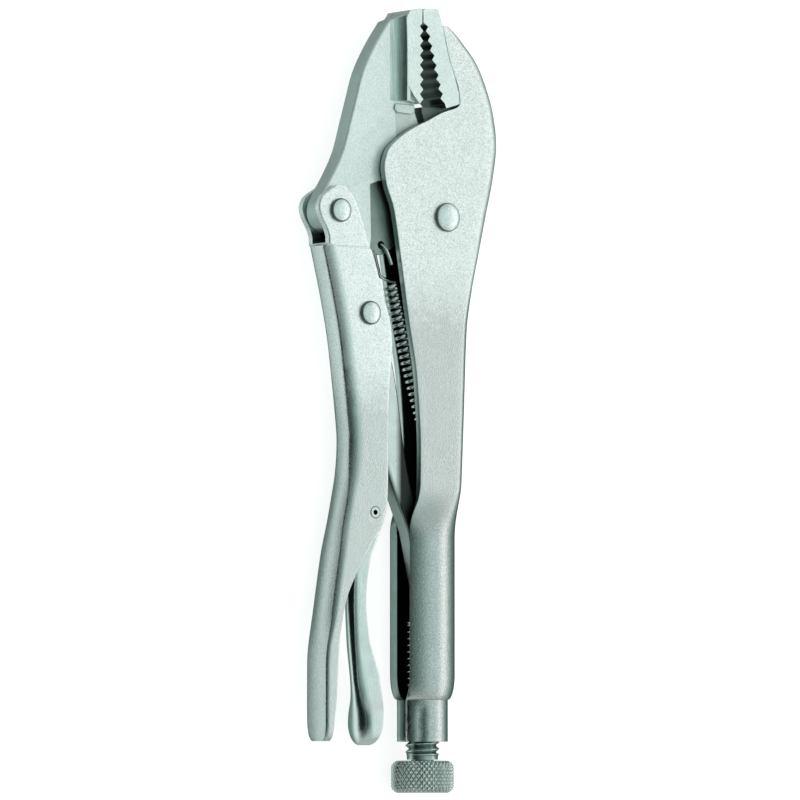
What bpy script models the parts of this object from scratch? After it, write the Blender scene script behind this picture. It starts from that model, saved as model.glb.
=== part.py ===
"""Locking pliers, straight jaw, about 250 mm long, lying flat on one side.

Drawing axes, in millimetres: X across the tool towards the fixed handle's back, Y along the
tool towards the jaws, Z the thickness. The adjusting screw's axis is X = Z = 0 and the knob's
outer face is Y = 0. to_metres() moves that drawing into the part's own frame.
"""
import math

import bmesh
import bpy
from mathutils import Matrix, Vector

MM = 0.001
FRAME_X = -8.45
FRAME_Y = 124.7
FRAME_Z = -10.0

# Pivots of the toggle linkage
JAW_PIVOT = (5.4, 182.9)
HANDLE_PIVOT = (-35.8, 183.4)
TOGGLE_PIVOT = (-24.4, 151.4)
TOGGLE_TIP = (0.0, 63.0)
LEVER_PIVOT = (-22.4, 88.4)

# Sheet metal
SHEET = 2.4
HALF_WIDTH = 6.0
BEND = 3.0
EAR_BEND = 0.5
INNER_BEND = 0.8
LEVER_SHEET = 1.5
LEVER_HALF = 3.3

# Forged jaws and the toggle link
PLATE_HALF = 3.3
TONGUE_HALF = 2.9
SHOULDER_HALF = 3.85
TOE_HALF = 5.2
POCKET_HALF = 1.9
FILLET_FOOT = -15.0
SPRING_EYE = (-17.4, 173.4)
TEETH_HALF = 6.35
LINK_HALF = 3.2
TOOTH_COUNT = 8
TOOTH_DEPTH = 1.25

# Tube, neck, screw and knob at the tail of the fixed handle
TUBE_RX = 10.5
TUBE_RZ = 9.9
TUBE_LIP_DEG = 33.0
NECK_R = 8.1
NECK_LIP_DEG = 13.0
NECK_LOW = 16.2
SHOULDER_HIGH = 37.5
SHOULDER_RUN = 8.1
SCREW_R = 5.4
SCREW_TIP_Y = 56.0
KNOB_R = 10.0
KNOB_HEIGHT = 10.2
KNOB_EDGE = 2.3
STUB_R = 3.6
STUB_LOW = 3.4
STUB_GAP = 0.3

# Round fastenings: shank radius, head radius, height of the head's dome
JAW_RIVET = (4.0, 4.6, 1.7)
HANDLE_RIVET = (3.0, 3.75, 1.5)
TOGGLE_RIVET = (3.0, 3.75, 1.5)
PIN_R = 1.8
PIN_BORE = 0.75

# Step from the movable handle's spine to its two ears
EAR_LOW = 172.1
EAR_RUN = 0.8

# Return spring
SPRING_FOOT = Vector((2.2, 110.5, 0.0))
SPRING_TOP = Vector((-12.3, 161.4, 0.0))
SPRING_TURNS = 26
SPRING_STEPS = 9
SPRING_PHASE = -1.9
SPRING_COIL_R = 2.2
SPRING_WIRE_R = 0.55
SPRING_SIDES = 5

# Running clearances
HOLE_GAP = 0.15
HEAD_GAP = 0.1

# Outlines as (distance along the tool, X). Each is a smooth curve through its stations.
FIXED_EDGE = [(16, -8), (83, -8.7), (86, -7.3), (93, -5.0), (108, -4.8), (130, -6.1),
              (151, -9.6), (169, -12.5), (185, -15.3), (193, -18.2), (198, -18.9),
              (203.3, -17.5), (207, -13.7), (210.7, -8.0), (213.7, -1.6), (216.6, 4.2),
              (218.3, 9.8), (219.6, 10.4), (223, 10.1), (233.5, 6.3), (244, 3.8)]
FIXED_BACK = [(16, 8), (82, 11.4), (97, 12.4), (120, 13.4), (147, 14.5), (160, 16.5),
              (171, 19.2), (181, 21.8), (197.5, 25.7), (207, 26.9), (216, 25.8),
              (227.5, 21.9), (234.3, 18.0), (240.8, 11.4), (244, 6.4)]
MOVING_BACK = [(16.2, -40.7), (18.5, -41.0), (28, -41.2), (40.6, -41.2),
               (53.5, -39.9), (66.5, -38.0), (79.4, -35.8), (92.4, -33.1), (101, -31.5),
               (111, -30.9), (121.5, -31.8), (130, -32.8), (143.5, -34.6), (155.5, -37.0),
               (166, -39.5), (172, -41.0)]
EAR_BACK = [(172, -39.9), (174.8, -39.9), (176.4, -40.3), (178.5, -41.3), (181.2, -42.9),
            (184.3, -43.8), (187.4, -42.7), (191.2, -37.4)]
MOVING_BEND = [(16.2, 1.0), (48, 1.2), (60, 1.6), (92, 1.7), (108, 2.5), (192, 2.5)]
MOVING_CROWN = [(16.2, 0.5), (44, 0.7), (58, 1.5), (90, 1.5), (110, 0.7), (192, 0.7)]
MOVING_EDGE = [(16.2, -38.3), (20, -38.0), (24, -37.7), (28, -37.2), (40, -36.6),
               (47, -36.2), (52, -35.6), (60, -34.0), (68.3, -30.2), (77.5, -24.5),
               (85.8, -18.9), (92.5, -17.5), (104, -17.2), (119, -17.0), (129.5, -16.6),
               (141.5, -15.6), (148.7, -16.4), (154.7, -18.3), (169.3, -22.9), (175.8, -25.5),
               (183, -27.9), (188.8, -31.0), (191.2, -34.2)]
MOVING_WIDTH = [(16.2, 3.7), (16.7, 4.5), (17.8, 5.2), (19.5, 5.7), (22, 6.0), (44, 6.2),
                (56, 6.7), (74, 6.7), (86, 6.0), (191.2, 6.0)]
LEVER_BACK = [(15.0, -24.2), (20, -25.9), (29.5, -26.6), (36, -27.2), (48.6, -28.4),
              (61, -28.9), (72, -28.9), (80, -28.3), (88, -26.9), (95, -23.6), (101.5, -21.2)]
LEVER_FRONT = [(15.0, -21.6), (19, -20.4), (24.5, -19.2), (29.5, -18.4), (36, -18.7),
               (42, -20.6), (48.6, -22.7), (61, -23.9), (74, -22.2), (80.4, -19.4),
               (84, -18.0), (90, -17.5), (96, -17.6), (101.5, -18.2)]
LEVER_WIDTH = [(15.0, 1.6), (15.4, 2.7), (16.2, 3.9), (17.5, 5.1), (19.4, 6.1), (21.5, 6.5),
               (24.5, 6.2), (30, 4.4), (37, 3.4), (46, 3.3), (101.5, 3.3)]

LEG_STEPS = 5
ARC_STEPS = 4
BACK_STEPS = 2
SMOOTH_DEG = 40.0


def smooth_value(stations, y):
    """Cubic through the stations, with slopes limited so that it never overshoots."""
    ys = [s[0] for s in stations]
    xs = [s[1] for s in stations]
    if y <= ys[0]:
        return xs[0]
    if y >= ys[-1]:
        return xs[-1]
    secants = [(xs[i + 1] - xs[i]) / (ys[i + 1] - ys[i]) for i in range(len(xs) - 1)]
    slopes = [secants[0]]
    for before, after in zip(secants, secants[1:]):
        same_way = before * after > 0.0
        slopes.append(2.0 * before * after / (before + after) if same_way else 0.0)
    slopes.append(secants[-1])
    i = max(k for k in range(len(ys) - 1) if ys[k] <= y)
    span = ys[i + 1] - ys[i]
    t = (y - ys[i]) / span
    rise = t * t * (3.0 - 2.0 * t)
    start = t * (1.0 - t) ** 2 * span * slopes[i]
    end = t * t * (t - 1.0) * span * slopes[i + 1]
    return xs[i] + rise * (xs[i + 1] - xs[i]) + start + end


def smooth_step(low, high, y):
    t = min(max((y - low) / (high - low), 0.0), 1.0)
    return t * t * (3.0 - 2.0 * t)


def mirrored(half, middle):
    """A section from its near half, its middle point and the mirror of the near half."""
    return half + [middle] + [(x, -z) for x, z in reversed(half)]


def u_section(edge, back, half, bend, share=0.48, crown=0.0):
    """Open channel: leg, bend, crowned back, bend, leg, as (x, z) points."""
    side = 1.0 if back > edge else -1.0
    bend = min(bend, share * abs(back - edge), 0.9 * half)
    corner = back - side * bend
    points = [(edge + (corner - edge) * i / LEG_STEPS, half) for i in range(LEG_STEPS)]
    for i in range(ARC_STEPS + 1):
        angle = 0.5 * math.pi * i / ARC_STEPS
        points.append((corner + side * bend * math.sin(angle),
                       half - bend + bend * math.cos(angle)))
    points += [(back, (half - bend) * (1.0 - i / (BACK_STEPS + 1)))
               for i in range(1, BACK_STEPS + 1)]
    crowned = [(x - side * crown * (z / half) ** 2 * (x - edge) / (back - edge), z)
               for x, z in points]
    return mirrored(crowned, (back, 0.0))


def c_section(radius_x, radius_z, lip_deg):
    """Split tube round the screw axis, open towards -X, with as many points as u_section."""
    count = LEG_STEPS + ARC_STEPS + 1 + BACK_STEPS
    points = []
    for i in range(count):
        angle = math.radians(180.0 - lip_deg) * (1.0 - i / count)
        points.append((radius_x * math.cos(angle), radius_z * math.sin(angle)))
    return mirrored(points, (radius_x, 0.0))


def blend(first, second, share):
    return [(a[0] + (b[0] - a[0]) * share, a[1] + (b[1] - a[1]) * share)
            for a, b in zip(first, second)]


def to_metres(x, y, z):
    return Vector(((x - FRAME_X) * MM, (y - FRAME_Y) * MM, (z - FRAME_Z) * MM))


def make_material(name, colour, roughness):
    material = bpy.data.materials.new(name)
    material.use_nodes = True
    shader = material.node_tree.nodes["Principled BSDF"]
    shader.inputs["Base Color"].default_value = (*colour, 1.0)
    shader.inputs["Roughness"].default_value = roughness
    shader.inputs["Metallic"].default_value = 1.0
    return material


def object_from_bmesh(bm, name, material=None):
    """Turn a closed bmesh drawn in millimetres into a named object in metres."""
    for vert in bm.verts:
        vert.co = to_metres(*vert.co)
    bmesh.ops.recalc_face_normals(bm, faces=bm.faces)
    mesh = bpy.data.meshes.new(name)
    bm.to_mesh(mesh)
    bm.free()
    mesh.shade_smooth()
    mesh.set_sharp_from_angle(angle=math.radians(SMOOTH_DEG))
    obj = bpy.data.objects.new(name, mesh)
    bpy.context.collection.objects.link(obj)
    if material is not None:
        obj.data.materials.append(material)
    return obj


def loft_channel(name, sections, material):
    """Skin a sheet-metal channel over (y, outer points, inner points) sections."""
    bm = bmesh.new()
    rings = []
    for y, outer, inner in sections:
        ring = [bm.verts.new((x, y, z)) for x, z in outer]
        ring += [bm.verts.new((x, y, z)) for x, z in reversed(inner)]
        rings.append(ring)
    size = len(rings[0])
    for low, high in zip(rings, rings[1:]):
        for i in range(size):
            j = (i + 1) % size
            bm.faces.new((low[i], low[j], high[j], high[i]))
    for ring in (rings[0], rings[-1]):
        for i in range(size // 2 - 1):
            bm.faces.new((ring[i], ring[i + 1], ring[size - 2 - i], ring[size - 1 - i]))
    return object_from_bmesh(bm, name, material)


def prism(name, outline, half, material=None, bevel=0.0):
    """Plate of the outline's shape, centred on the tool's middle plane."""
    bm = bmesh.new()
    face = bm.faces.new([bm.verts.new((x, y, -half)) for x, y in outline])
    made = bmesh.ops.extrude_face_region(bm, geom=[face])["geom"]
    bmesh.ops.translate(bm, vec=(0.0, 0.0, 2.0 * half),
                        verts=[g for g in made if isinstance(g, bmesh.types.BMVert)])
    obj = object_from_bmesh(bm, name, material)
    if bevel > 0.0:
        rounding = obj.modifiers.new("edge", "BEVEL")
        rounding.width = bevel * MM
        rounding.segments = 2
        rounding.limit_method = "ANGLE"
        rounding.angle_limit = math.radians(50.0)
        apply_modifiers(obj)
    return obj


def lathe(name, profile, centre, along_y, material=None, steps=32):
    """Spin a closed (radius, distance) profile round an axis through the centre."""
    bm = bmesh.new()
    verts = [bm.verts.new((r, 0.0, d)) for r, d in profile]
    for start, end in zip(verts, verts[1:]):
        bm.edges.new((start, end))
    bmesh.ops.spin(bm, geom=bm.verts[:] + bm.edges[:], cent=(0.0, 0.0, 0.0),
                   axis=(0.0, 0.0, 1.0), angle=2.0 * math.pi, steps=steps, use_duplicate=False)
    bmesh.ops.remove_doubles(bm, verts=bm.verts, dist=1e-4)
    if along_y:
        bm.transform(Matrix.Rotation(math.radians(-90.0), 4, "X"))
    bm.transform(Matrix.Translation((centre[0], centre[1], 0.0)))
    return object_from_bmesh(bm, name, material)


def apply_modifiers(obj):
    mesh = bpy.data.meshes.new_from_object(obj.evaluated_get(bpy.context.evaluated_depsgraph_get()))
    old = obj.data
    obj.modifiers.clear()
    obj.data = mesh
    bpy.data.meshes.remove(old)


def combine(obj, others, operation):
    """Boolean the other solids into or out of the object, then drop them."""
    for other in others:
        step = obj.modifiers.new("combine", "BOOLEAN")
        step.operation = operation
        step.solver = "EXACT"
        step.object = other
    bpy.context.view_layer.update()
    apply_modifiers(obj)
    for other in others:
        bpy.data.objects.remove(other)
    return obj


def drill(obj, centre, radius, half=20.0):
    profile = [(0.0, -half), (radius, -half), (radius, half), (0.0, half)]
    return combine(obj, [lathe("drill", profile, centre, False)], "DIFFERENCE")


def arc(centre, radius, start_deg, end_deg, steps):
    """Points along an arc, both ends included."""
    points = []
    for i in range(steps + 1):
        angle = math.radians(start_deg + (end_deg - start_deg) * i / steps)
        points.append((centre[0] + radius * math.cos(angle), centre[1] + radius * math.sin(angle)))
    return points


def saw_teeth(first_root, last_root, side):
    """Tooth row from one root to the other; the tips stand out towards the given side."""
    points = [first_root]
    for i in range(TOOTH_COUNT):
        tip = (i + 0.5) / TOOTH_COUNT
        root = (i + 1.0) / TOOTH_COUNT
        for share, reach in ((tip, TOOTH_DEPTH), (root, 0.0)):
            points.append((first_root[0] + (last_root[0] - first_root[0]) * share + side * reach,
                           first_root[1] + (last_root[1] - first_root[1]) * share))
    return points


def fixed_back_inside(y):
    """Inner face of the fixed handle's back, thicker where the back slopes."""
    slope = (smooth_value(FIXED_BACK, y + 0.5) - smooth_value(FIXED_BACK, y - 0.5))
    inside = smooth_value(FIXED_BACK, y) - SHEET * math.hypot(1.0, slope)
    return max(inside, smooth_value(FIXED_EDGE, y) + 0.9)


def fixed_section(y):
    """Outer and inner points: a channel at the head, a split tube and neck at the tail."""
    edge = smooth_value(FIXED_EDGE, y)
    outer = u_section(edge, smooth_value(FIXED_BACK, y), HALF_WIDTH, BEND)
    inner = u_section(edge, fixed_back_inside(y), HALF_WIDTH - SHEET, INNER_BEND)
    neck = 1.0 - math.sqrt(1.0 - min(max((SHOULDER_HIGH - y) / SHOULDER_RUN, 0.0), 1.0) ** 2)
    lip = TUBE_LIP_DEG + (NECK_LIP_DEG - TUBE_LIP_DEG) * neck
    rx = TUBE_RX + (NECK_R - TUBE_RX) * neck
    rz = TUBE_RZ + (NECK_R - TUBE_RZ) * neck
    tube = 1.0 - smooth_step(80.0, 98.0, y)
    return (blend(outer, c_section(rx, rz, lip), tube),
            blend(inner, c_section(rx - SHEET, rz - SHEET, lip), tube))


def build_fixed_handle(material):
    ys = [NECK_LOW, 22, 29.2, 29.6, 30.4, 31.6, 33.5, 35.5, 37.5, 58, 80, 84, 87, 90, 93,
          96, 99, 108, 119, 130, 141, 151, 160, 169, 177, 185, 190, 194, 198, 201, 203.3, 205.2, 207,
          208.9, 210.7, 212.2, 213.7, 215.2, 216.6, 217.5, 218.3, 219.6, 223, 228, 233.5,
          237.5, 240.8, 244]
    sections = [(y, *fixed_section(y)) for y in ys]
    handle = loft_channel("fixed_handle", sections, material)
    return drill(handle, JAW_PIVOT, JAW_RIVET[0] + HOLE_GAP)


def build_fixed_jaw(material):
    """Toothed block outside the head and a tongue held between its walls."""
    root_low = (4.3, 219.2)
    root_high = (-2.2, 243.4)
    seat = [(y, smooth_value(FIXED_EDGE, y) - 0.3) for y in (219.4, 223, 228, 233.5, 239, 243.7)]
    block = saw_teeth(root_low, root_high, -1.0)
    block += [(-4.0, 244.6), (-4.0, 248.4), (-3.4, 249.2), (1.0, 249.4), (2.0, 248.8)]
    block += [(x, y) for y, x in reversed(seat)] + [(9.0, 218.9), (4.9, 217.7)]
    jaw = prism("fixed_jaw", block, TEETH_HALF, material)
    inside = [(fixed_back_inside(y) - 0.35, y) for y in (207, 213, 219, 225, 231, 236, 239)]
    tongue = [(0.8, 207.4)] + inside + [(3.2, 243.0), (0.4, 240.0), (5.4, 220.8), (5.0, 218.4),
                                        (-2.6, 217.9), (-2.6, 216.2)]
    return combine(jaw, [prism("tongue", tongue, PLATE_HALF)], "UNION")


def movable_plate_outline():
    outline = [(-5.4, 249.0), (-15.3, 244.8), (-20.7, 236.9), (-25.3, 228.2), (-28.1, 219.1),
               (-30.4, 211.2), (-33.1, 202.3), (-36.8, 195.1), (-40.2, 189.6)]
    outline += arc(HANDLE_PIVOT, 7.0, 150.0, 265.0, 8)
    outline += [(-30.0, 174.8), (-24.5, 172.4)]
    outline += arc(SPRING_EYE, 3.1, 215.0, 300.0, 4)
    outline += [(-11.5, 173.8), (-4.0, 174.8)]
    outline += arc(JAW_PIVOT, 9.5, 240.0, 400.0, 11)
    outline += [(7.0, 198.0), (-1.4, 207.0), (-5.0, 216.0), (-5.4, 232.0)]
    return outline


def fillet_bar(name, low):
    """Hollow-ground flank from the thin plate up to the toothed block, ending on a slant."""
    flank = [(FILLET_FOOT - 0.6, PLATE_HALF - 0.3)]
    flank += [(FILLET_FOOT + x, PLATE_HALF + z)
              for x, z in ((0.0, -0.02), (1.2, 0.12), (2.2, 0.43), (3.1, 0.96), (3.9, 1.73),
                           (4.45, 2.48), (4.75, 2.98))]
    flank += [(FILLET_FOOT + 6.0, TEETH_HALF - 0.1)]
    section = flank + [(x, -z) for x, z in reversed(flank)]
    bm = bmesh.new()
    first = [bm.verts.new((x, low, z)) for x, z in section]
    last = [bm.verts.new((x, 244.5 + 0.414 * (x + 15.3), z)) for x, z in section]
    for i in range(len(section)):
        j = (i + 1) % len(section)
        bm.faces.new((first[i], first[j], last[j], last[i]))
    bm.faces.new(first)
    bm.faces.new(last)
    return object_from_bmesh(bm, name)


def side_pockets(outline, floor_half):
    """Two cutters that thin the plate to the given half thickness on both sides."""
    cutters = []
    for side in (-1.0, 1.0):
        cutter = prism("pocket", outline, 4.0)
        cutter.location.z = side * (floor_half + 4.0) * MM
        cutters.append(cutter)
    return cutters


def build_movable_jaw(material):
    plate = prism("movable_jaw", movable_plate_outline(), PLATE_HALF, material, bevel=0.7)
    tongue = [(-13.0, 215.4), (-12.4, 206.0), (-14.0, 199.0), (2.0, 197.0), (2.0, 208.0),
              (-3.0, 219.0), (-12.0, 217.0)]
    pocket = [(-22.6, 192.4), (-19.5, 193.6), (-12.0, 194.4), (-7.5, 191.0), (-7.5, 169.0),
              (-23.5, 165.0), (-22.2, 176.0)]
    combine(plate, side_pockets(tongue, TONGUE_HALF) + side_pockets(pocket, POCKET_HALF),
            "DIFFERENCE")
    block = saw_teeth((-5.35, 218.6), (-5.35, 243.4), 1.0)
    block += [(-4.4, 244.4), (-4.4, 248.4), (-5.0, 249.1), (-9.0, 248.3), (-10.4, 246.0),
              (-10.0, 224.4), (-7.7, 221.2)]
    toe = [(-9.6, 224.2), (-10.9, 219.7), (-6.8, 218.9), (-5.6, 219.4), (-6.0, 224.0)]
    shoulder = [(-5.8, 218.4), (-13.0, 218.6), (-13.5, 216.8), (-12.4, 215.7), (-7.0, 215.3),
                (-5.8, 216.0)]
    parts = [prism("block", block, TEETH_HALF), prism("toe", toe, TOE_HALF),
             prism("shoulder", shoulder, SHOULDER_HALF), fillet_bar("flank", 219.4)]
    jaw = combine(plate, parts, "UNION")
    drill(jaw, JAW_PIVOT, JAW_RIVET[0] + HOLE_GAP)
    drill(jaw, HANDLE_PIVOT, HANDLE_RIVET[0] + HOLE_GAP)
    return drill(jaw, SPRING_EYE, 1.3)


def moving_section(y):
    """The spine's round bends give way to two flat ears, set in a little from the spine."""
    ear = smooth_step(EAR_LOW, EAR_LOW + EAR_RUN, y)
    edge = smooth_value(MOVING_EDGE, y)
    back = smooth_value(MOVING_BACK, y) * (1.0 - ear) + smooth_value(EAR_BACK, y) * ear
    half = smooth_value(MOVING_WIDTH, y)
    bend = smooth_value(MOVING_BEND, y) * (1.0 - ear) + EAR_BEND * ear
    crown = smooth_value(MOVING_CROWN, y) * (1.0 - ear)
    outer = u_section(edge, back, half, bend, 0.8, crown)
    inner = u_section(edge, min(back + SHEET, edge - 0.6), half - min(SHEET, 0.5 * half),
                      INNER_BEND)
    return outer, inner


def build_movable_handle(material):
    ys = [16.2, 16.7, 17.8, 19.5, 22, 25, 29, 36, 44, 52, 60, 68, 77, 85, 92, 99, 107, 115, 123,
          131, 141, 148, 155, 162, 167, 171.5, 172.1, 172.5, 172.9, 174.8, 176.4, 178.5, 181.2,
          184.3, 186, 188.2, 190, 191.2]
    sections = [(y, *moving_section(y)) for y in ys]
    handle = loft_channel("movable_handle", sections, material)
    slot = [(-60.0, 172.3), (-60.0, 205.0), (-20.0, 205.0), (-20.0, 173.6), (-38.0, 173.6),
            (-40.6, 172.9), (-41.3, 172.3)]
    combine(handle, [prism("slot", slot, HALF_WIDTH - SHEET)], "DIFFERENCE")
    drill(handle, HANDLE_PIVOT, HANDLE_RIVET[0] + HOLE_GAP)
    drill(handle, TOGGLE_PIVOT, TOGGLE_RIVET[0] + HOLE_GAP)
    return drill(handle, LEVER_PIVOT, PIN_R + HOLE_GAP)


def build_toggle_link(material):
    outline = arc(TOGGLE_PIVOT, 6.4, 15.0, 190.0, 10)
    outline += [(-29.0, 141.0), (-24.5, 127.0), (-18.4, 110.0), (-13.0, 95.6), (-7.4, 82.6)]
    outline += arc(TOGGLE_TIP, 3.2, 170.0, 350.0, 8)
    outline += [(2.4, 72.0), (-1.0, 82.0), (-4.6, 92.0), (-7.2, 101.0), (-9.4, 112.0),
                (-11.6, 127.0), (-14.6, 141.0)]
    link = prism("toggle_link", outline, LINK_HALF, material, bevel=1.1)
    return drill(link, TOGGLE_PIVOT, TOGGLE_RIVET[0] + HOLE_GAP)


def lever_section(y):
    """Narrow channel that opens into a dished pad with broad round bends."""
    back = smooth_value(LEVER_BACK, y)
    edge = smooth_value(LEVER_FRONT, y)
    half = smooth_value(LEVER_WIDTH, y)
    pad = 1.0 - smooth_step(30.0, 48.0, y)
    inner_half = half - min(LEVER_SHEET, 0.5 * half)
    outer = u_section(edge, back, half, 1.0 + 0.4 * pad, 0.48, 1.3 + 0.7 * pad)
    inner = u_section(edge, min(back + LEVER_SHEET, edge - 0.4), inner_half,
                      0.5 + 1.6 * pad, 0.48 + 0.2 * pad)
    return outer, inner


def build_release_lever(material):
    ys = [15.0, 15.4, 16.2, 17.5, 19.4, 21.5, 24.5, 27, 31, 35, 39, 44, 50, 58, 66, 73, 79, 84,
          90, 96, 101.5]
    sections = [(y, *lever_section(y)) for y in ys]
    lever = loft_channel("release_lever", sections, material)
    return drill(lever, LEVER_PIVOT, PIN_R + HOLE_GAP)


def build_rivet(name, centre, size, material):
    """Rivet with a low domed head on each side of the tool."""
    shank, head, dome = size
    under = HALF_WIDTH + HEAD_GAP
    half = [(shank, under), (head, under), (head, under + 0.35 * dome),
            (0.84 * head, under + 0.72 * dome), (0.45 * head, under + 0.96 * dome),
            (0.0, under + dome)]
    profile = [(r, -d) for r, d in reversed(half)] + half
    return lathe(name, profile, centre, False, material, steps=24)


def build_lever_pin(material):
    """Hollow pin through both walls of the movable handle."""
    reach = HALF_WIDTH + 0.25
    profile = [(PIN_BORE, -reach), (PIN_R, -reach), (PIN_R, reach), (PIN_BORE, reach),
               (PIN_BORE, -reach)]
    return lathe("release_lever_pin", profile, LEVER_PIVOT, False, material, steps=24)


def build_screw(material):
    profile = [(0.0, STUB_LOW), (STUB_R, STUB_LOW), (STUB_R, KNOB_HEIGHT + STUB_GAP),
               (SCREW_R, KNOB_HEIGHT + STUB_GAP), (SCREW_R, SCREW_TIP_Y - 2.0),
               (SCREW_R - 1.6, SCREW_TIP_Y), (0.0, SCREW_TIP_Y)]
    return lathe("adjusting_screw", profile, (0.0, 0.0), True, material)


def build_knob(material):
    bore = STUB_R + HOLE_GAP
    rim = KNOB_R - KNOB_EDGE
    profile = [(0.0, 0.0)] + arc((rim, KNOB_EDGE), KNOB_EDGE, -90.0, 0.0, 4)
    profile += arc((rim, KNOB_HEIGHT - KNOB_EDGE), KNOB_EDGE, 0.0, 90.0, 4)
    profile += [(bore, KNOB_HEIGHT), (bore, STUB_LOW - 0.4), (0.0, STUB_LOW - 0.4)]
    return lathe("adjusting_knob", profile, (0.0, 0.0), True, material, steps=40)


def spring_path():
    """Hook at the jaw, close coils along a slanting axis, then a straight tail."""
    axis = SPRING_FOOT - SPRING_TOP
    along = axis.normalized()
    across = along.cross(Vector((0.0, 0.0, 1.0)))
    hook = ((-15.3, 163.4, -1.0), (-15.6, 166.2, -2.2), (-16.2, 169.8, -2.9),
            (-17.1, 173.0, -2.8), (-17.5, 173.8, -1.2), (-17.3, 173.6, 1.4), (-16.3, 172.2, 2.9),
            (-15.0, 169.6, 3.1), (-14.0, 167.3, 3.0))
    points = [Vector(p) for p in reversed(hook)]
    count = SPRING_TURNS * SPRING_STEPS
    for i in range(count + 1):
        angle = 2.0 * math.pi * i / SPRING_STEPS + SPRING_PHASE
        radial = across * math.sin(angle) + Vector((0.0, 0.0, math.cos(angle)))
        points.append(SPRING_TOP + axis * (i / count) + SPRING_COIL_R * radial)
    return points + [Vector((4.4, 106.5, 1.6)), Vector((7.6, 100.5, 0.6)),
                     Vector((8.8, 98.6, 0.4))]


def build_spring(material):
    """Sweep a five-sided wire along the path; the frame is carried along without twist."""
    points = spring_path()
    radius = SPRING_WIRE_R
    sides = SPRING_SIDES
    bm = bmesh.new()
    rings = []
    normal = Vector((1.0, 0.0, 0.0))
    for i, point in enumerate(points):
        ahead = points[min(i + 1, len(points) - 1)]
        behind = points[max(i - 1, 0)]
        tangent = (ahead - behind).normalized()
        normal = (normal - tangent * normal.dot(tangent)).normalized()
        side = tangent.cross(normal)
        rings.append([bm.verts.new(point + radius * (normal * math.cos(a) + side * math.sin(a)))
                      for a in (2.0 * math.pi * k / sides for k in range(sides))])
    for low, high in zip(rings, rings[1:]):
        for i in range(sides):
            j = (i + 1) % sides
            bm.faces.new((low[i], low[j], high[j], high[i]))
    bm.faces.new(rings[0])
    bm.faces.new(rings[-1])
    return object_from_bmesh(bm, "return_spring", material)


def hang_on(obj, axis_point):
    """Put the object's origin on its joint's axis without moving the piece."""
    origin = to_metres(*axis_point, 0.0)
    obj.data.transform(Matrix.Translation(-origin))
    obj.location = origin


def build():
    for obj in list(bpy.data.objects):
        bpy.data.objects.remove(obj)
    plated = make_material("plated_steel", (0.66, 0.70, 0.69), 0.28)
    forged = make_material("forged_steel", (0.60, 0.64, 0.63), 0.36)
    dark = make_material("bare_steel", (0.38, 0.40, 0.39), 0.42)
    wire = make_material("spring_steel", (0.42, 0.44, 0.44), 0.32)
    build_fixed_handle(plated)
    build_fixed_jaw(forged)
    build_rivet("jaw_pivot_rivet", JAW_PIVOT, JAW_RIVET, plated)
    build_spring(wire)
    hang_on(build_movable_jaw(forged), JAW_PIVOT)
    hang_on(build_movable_handle(plated), HANDLE_PIVOT)
    hang_on(build_rivet("handle_pivot_rivet", HANDLE_PIVOT, HANDLE_RIVET, plated), HANDLE_PIVOT)
    hang_on(build_toggle_link(plated), TOGGLE_PIVOT)
    hang_on(build_rivet("toggle_pivot_rivet", TOGGLE_PIVOT, TOGGLE_RIVET, plated), TOGGLE_PIVOT)
    hang_on(build_release_lever(plated), LEVER_PIVOT)
    hang_on(build_lever_pin(plated), LEVER_PIVOT)
    hang_on(build_screw(dark), (0.0, 0.0))
    hang_on(build_knob(dark), (0.0, 0.0))


build()
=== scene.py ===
"""Looks for the locking pliers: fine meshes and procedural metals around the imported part.

Pieces are drawn in millimetres on the same axes as the part: X across the tool towards the fixed
handle's back, Y along the tool from the knob to the jaws, Z the thickness, with the adjusting
screw's axis at X = Z = 0. to_metres() moves that drawing into the frame.
"""
import math

import bmesh
import bpy
from mathutils import Matrix, Vector


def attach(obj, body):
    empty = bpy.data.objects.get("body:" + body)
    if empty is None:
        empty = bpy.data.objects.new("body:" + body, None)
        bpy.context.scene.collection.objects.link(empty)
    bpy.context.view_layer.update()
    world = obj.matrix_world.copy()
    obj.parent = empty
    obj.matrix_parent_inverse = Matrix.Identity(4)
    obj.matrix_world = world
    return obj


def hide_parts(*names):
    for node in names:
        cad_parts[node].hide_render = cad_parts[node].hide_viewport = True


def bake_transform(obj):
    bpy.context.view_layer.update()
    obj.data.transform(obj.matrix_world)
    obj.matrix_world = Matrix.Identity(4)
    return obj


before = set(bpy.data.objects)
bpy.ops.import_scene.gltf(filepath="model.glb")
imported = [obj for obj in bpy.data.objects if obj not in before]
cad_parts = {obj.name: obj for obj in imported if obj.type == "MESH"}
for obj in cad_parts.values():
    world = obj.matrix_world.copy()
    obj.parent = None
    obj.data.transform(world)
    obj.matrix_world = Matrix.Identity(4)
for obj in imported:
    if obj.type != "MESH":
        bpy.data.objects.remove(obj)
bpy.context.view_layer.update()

MM = 0.001
FRAME_X = -8.45
FRAME_Y = 124.7
FRAME_Z = -10.0

# Pivots of the toggle linkage
JAW_PIVOT = (5.4, 182.9)
HANDLE_PIVOT = (-35.8, 183.4)
TOGGLE_PIVOT = (-24.4, 151.4)
TOGGLE_TIP = (0.0, 63.0)
LEVER_PIVOT = (-22.4, 88.4)

# Sheet metal
SHEET = 2.4
HALF_WIDTH = 6.0
BEND = 3.0
HEAD_BEND = 4.4
HEAD_BEND_RUN = (160.0, 190.0)
EAR_BEND = 0.5
INNER_BEND = 0.8
LEVER_SHEET = 1.5
LIP_ROUND = 0.32

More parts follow.
